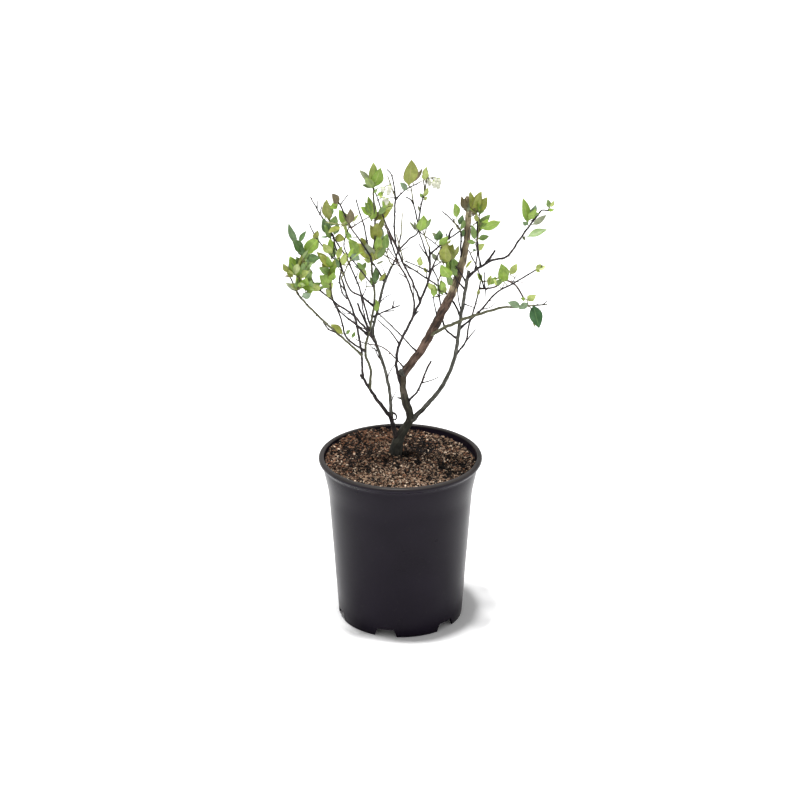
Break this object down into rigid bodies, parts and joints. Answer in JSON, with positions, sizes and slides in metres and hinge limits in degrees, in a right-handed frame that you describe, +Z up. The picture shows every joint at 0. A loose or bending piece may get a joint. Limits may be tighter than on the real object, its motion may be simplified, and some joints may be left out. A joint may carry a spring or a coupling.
{
  "type": "potted blueberry bush",
  "caption": "Young blueberry bush in spring leaf and flower, an open crown of thin twiggy stems, in a round plastic nursery pot filled with bark soil.",
  "frame": {"origin": "on the plane that the pot stands on, under the middle of the whole plant's box", "axes": "+Z up, the plant's front faces -Y, +X to its right as seen from the front"},
  "size_m": [0.3252, 0.236, 0.6039],
  "materials": {
    "pot_plastic": "satin",
    "bark_soil": "rough",
    "grey_bark": "rough",
    "dark_bark": "rough",
    "green_bark": "satin",
    "foliage": "satin"
  },
  "bodies": {
    "root": {"pot": "pot_plastic", "soil": "bark_soil", "trunk": "grey_bark", "right_stem": "grey_bark", "left_stem": "dark_bark", "left_inner_stem": "dark_bark", "left_green_stem": "green_bark", "left_dark_stem": "dark_bark", "centre_stem": "dark_bark", "far_left_bough": "dark_bark", "left_bough": "dark_bark", "left_low_bough": "dark_bark", "upper_left_bough": "dark_bark", "back_left_bough": "dark_bark", "inner_left_bough": "dark_bark", "back_bough": "dark_bark", "centre_front_bough": "dark_bark", "centre_left_bough": "dark_bark", "centre_right_bough": "dark_bark", "top_centre_bough": "dark_bark", "top_right_bough": "dark_bark", "crossing_bough": "dark_bark", "behind_bough": "dark_bark", "arching_bough": "green_bark", "right_low_bough": "dark_bark", "right_inner_bough": "dark_bark", "right_bough": "dark_bark", "right_up_bough": "dark_bark", "low_twig": "dark_bark", "top_left_foliage": "foliage", "top_front_foliage": "foliage", "top_centre_foliage": "foliage", "top_right_foliage": "foliage", "trunk_top_foliage": "foliage", "right_up_foliage": "foliage", "far_right_foliage": "foliage", "right_tip_foliage": "foliage", "right_mid_foliage": "foliage", "arching_foliage": "foliage", "centre_right_foliage": "foliage", "centre_foliage": "foliage", "centre_back_foliage": "foliage", "crossing_foliage": "foliage", "centre_left_foliage": "foliage", "inner_back_foliage": "foliage", "back_foliage": "foliage", "back_left_foliage": "foliage", "left_foliage": "foliage", "upper_left_foliage": "foliage", "inner_left_foliage": "foliage", "left_low_foliage": "foliage", "far_left_foliage": "foliage", "left_dark_foliage": "foliage"}
  },
  "joints": []
}
